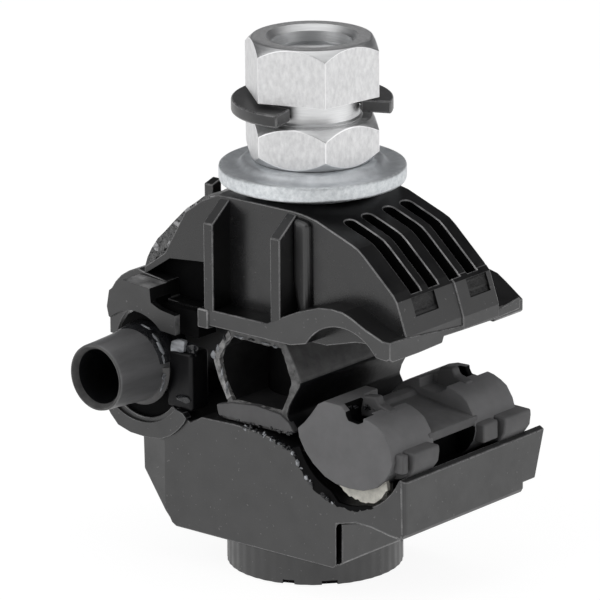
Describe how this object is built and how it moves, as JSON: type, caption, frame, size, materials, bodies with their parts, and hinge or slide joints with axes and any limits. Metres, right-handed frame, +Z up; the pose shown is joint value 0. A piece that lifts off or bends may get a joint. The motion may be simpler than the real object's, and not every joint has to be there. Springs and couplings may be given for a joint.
{
  "type": "insulation piercing connector",
  "caption": "Black two-jaw connector on a clamping bolt with a shear nut, joining an insulated tap conductor to an insulated overhead main through toothed blades.",
  "frame": {"origin": "centre of the underside of the boss, on the axis of the clamping bolt", "axes": "+Z up the bolt towards the shear nut, conductors along Y, main channel on +X, mouth of the tap sleeve towards -Y"},
  "size_m": [0.0425, 0.0308, 0.058],
  "materials": {
    "jaw_plastic": "satin moulded",
    "ring_plastic": "satin moulded",
    "seal_rubber": "matt",
    "liner_rubber": "greased",
    "sleeve_rubber": "matt",
    "bellows_rubber": "matt",
    "nut_aluminium": "turned",
    "washer_zinc": "galvanised",
    "bolt_steel": "galvanised",
    "blade_tin": "tin plated"
  },
  "bodies": {
    "lower_jaw": {"lower_body": "jaw_plastic", "clamp_bolt": "bolt_steel", "main_seal_lower": "seal_rubber", "tap_seal_lower": "liner_rubber", "tap_sleeve": "sleeve_rubber", "blade_front_lower": "blade_tin", "blade_rear_lower": "blade_tin", "spacer_bellows": "bellows_rubber"},
    "upper_jaw": {"upper_body": "jaw_plastic", "main_seal_upper": "liner_rubber", "tap_seal_upper": "liner_rubber", "blade_front_upper": "blade_tin", "blade_rear_upper": "blade_tin", "dished_washer": "washer_zinc"},
    "nut": {"shear_nut": "nut_aluminium", "stop_ring": "ring_plastic"}
  },
  "joints": [
    {"name": "jaw_slide", "type": "slide", "parent": "lower_jaw", "child": "upper_jaw", "axis": [0, 0, 1], "range_m": [-0.0019, 0], "stiffness_N_per_m": 200, "springref_m": 0.0008, "deforming": ["spacer_bellows"]},
    {"name": "nut_turn", "type": "hinge", "parent": "upper_jaw", "child": "nut", "pos_m": [0, 0, 0.0448], "axis": [0, 0, 1], "range_deg": [-548, 0]}
  ],
  "couplings": [
    {"joint": "nut_turn", "follows": "jaw_slide", "rad_per_m": 5026.5}
  ]
}
